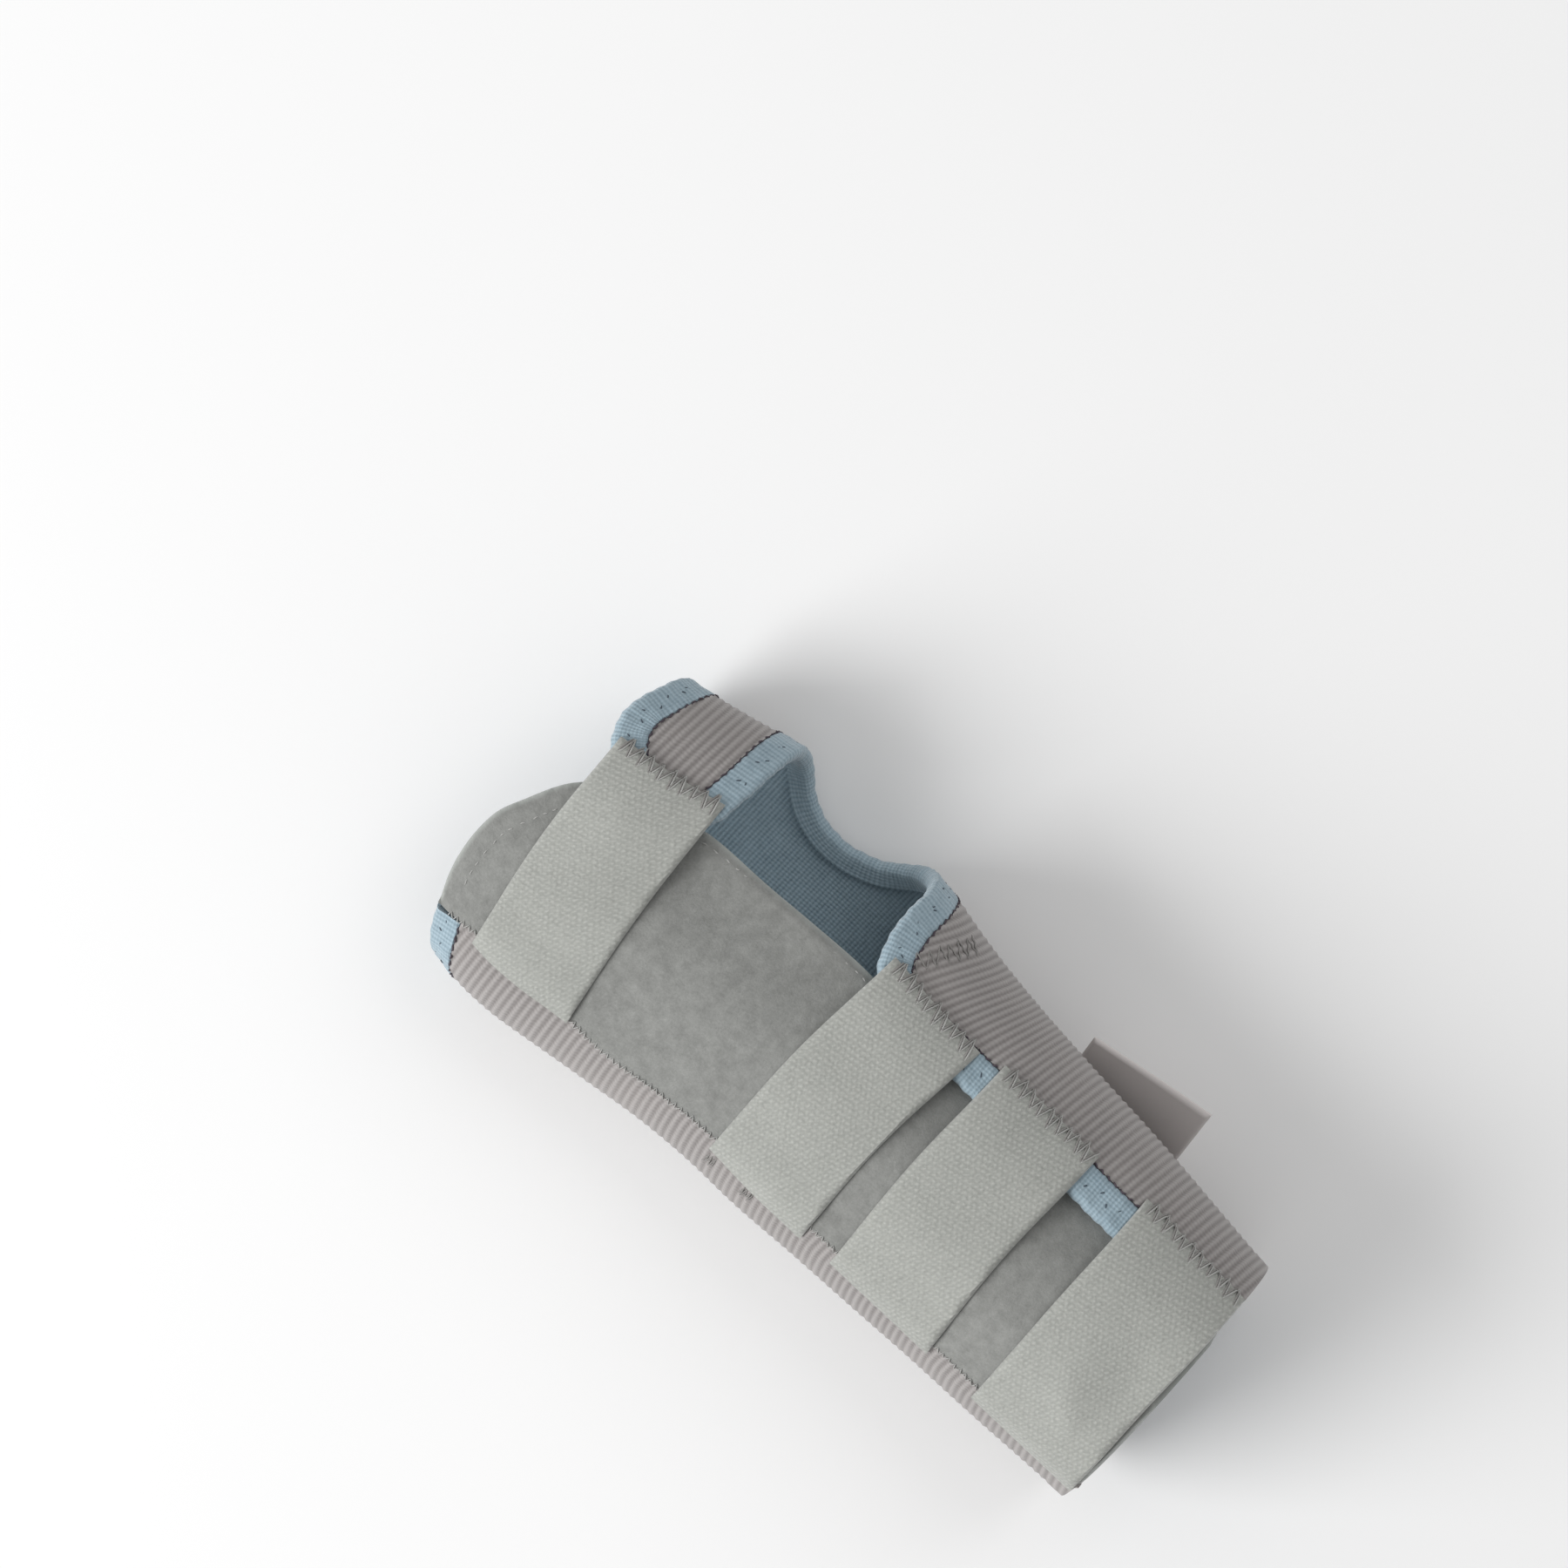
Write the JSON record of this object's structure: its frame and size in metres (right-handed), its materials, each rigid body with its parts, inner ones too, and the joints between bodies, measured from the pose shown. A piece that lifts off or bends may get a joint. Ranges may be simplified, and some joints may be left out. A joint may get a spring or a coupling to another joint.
{
  "type": "resting hand splint",
  "caption": "Soft wrist and hand splint: ribbed sleeve with thumb notch, padded palm panel, blue edge tape and cross straps, lying palm up.",
  "frame": {"origin": "middle of the footprint, at the level of the surface the back lies on", "axes": "+X along the forearm away from the fingers, +Y towards the thumb side, +Z out of the palm"},
  "size_m": [0.1982, 0.0948, 0.06],
  "materials": {
    "ribbed": "ribbed elastic knit, matt grey-brown",
    "knit": "fine light-blue knit tape and lining",
    "velour": "brushed grey velour",
    "strap": "light grey looped strap webbing",
    "tab": "smooth grey-brown strap end"
  },
  "bodies": {
    "root": {"sleeve": "ribbed", "lining": "knit", "palm_panel": "velour", "knuckle_binding": "knit", "thumb_binding": "knit", "wing_binding": "knit", "strap_palm": "strap", "strap_wrist": "strap", "strap_middle": "strap", "strap_forearm": "strap", "back_tab": "tab"}
  },
  "joints": []
}
